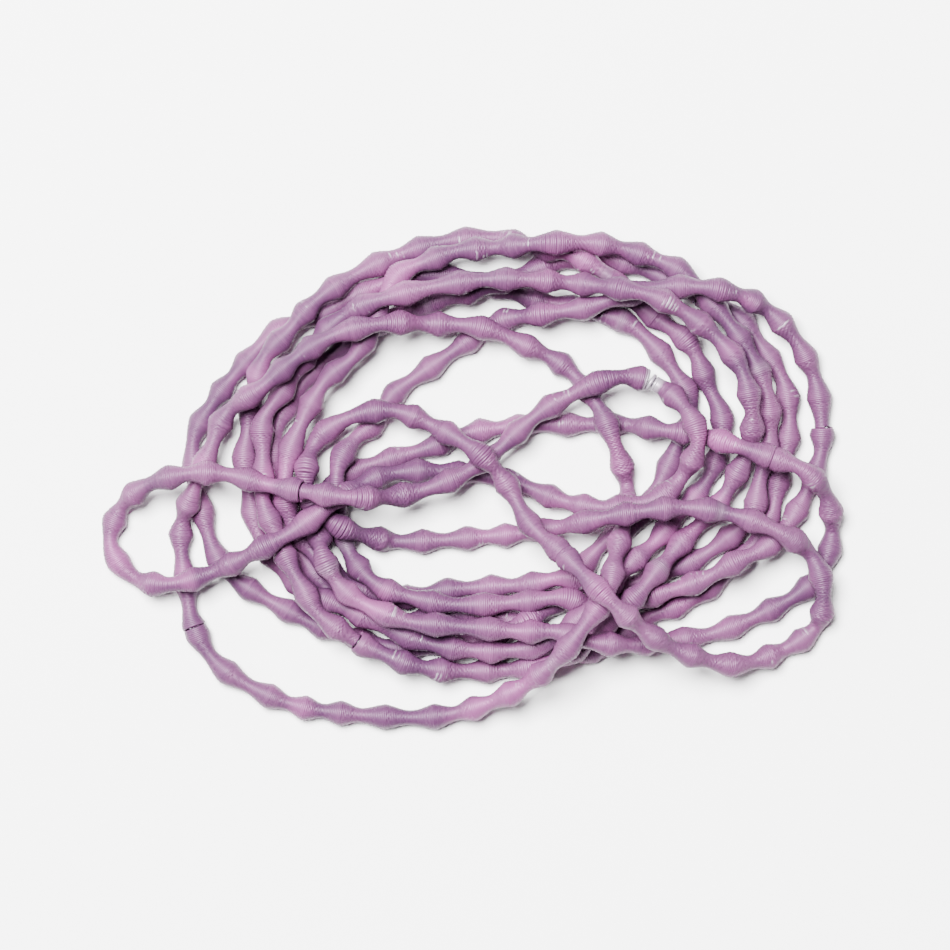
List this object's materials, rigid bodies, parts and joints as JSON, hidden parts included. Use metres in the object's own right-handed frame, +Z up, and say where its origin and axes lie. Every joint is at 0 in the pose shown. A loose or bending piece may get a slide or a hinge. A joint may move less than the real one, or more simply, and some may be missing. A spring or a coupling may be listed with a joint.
{
  "type": "coil loop bundle",
  "caption": "Loose pile of slim endless loops, each a limp close-wound wire coil with a gently beaded outline, closed on itself by a small joining pin.",
  "frame": {"origin": "middle of the pile's outline, on the surface that it lies on", "axes": "+X along the pile's longest extent, +Z up out of the surface, along its shortest extent"},
  "size_m": [0.1114, 0.075, 0.0177],
  "materials": {
    "coil_lacquer": "violet lacquer on fine wire, satin to gloss",
    "pin_steel": "plain bright wire"
  },
  "bodies": {
    "root": {"loop_1": "coil_lacquer", "loop_2": "coil_lacquer", "loop_3": "coil_lacquer", "loop_4": "coil_lacquer", "loop_5": "coil_lacquer", "loop_6": "coil_lacquer", "loop_7": "coil_lacquer", "loop_8": "coil_lacquer", "loop_9": "coil_lacquer", "loop_10": "coil_lacquer", "pin_1": "pin_steel", "pin_2": "pin_steel", "pin_3": "pin_steel", "pin_4": "pin_steel", "pin_5": "pin_steel", "pin_6": "pin_steel", "pin_7": "pin_steel", "pin_8": "pin_steel", "pin_9": "pin_steel", "pin_10": "pin_steel"}
  },
  "joints": []
}
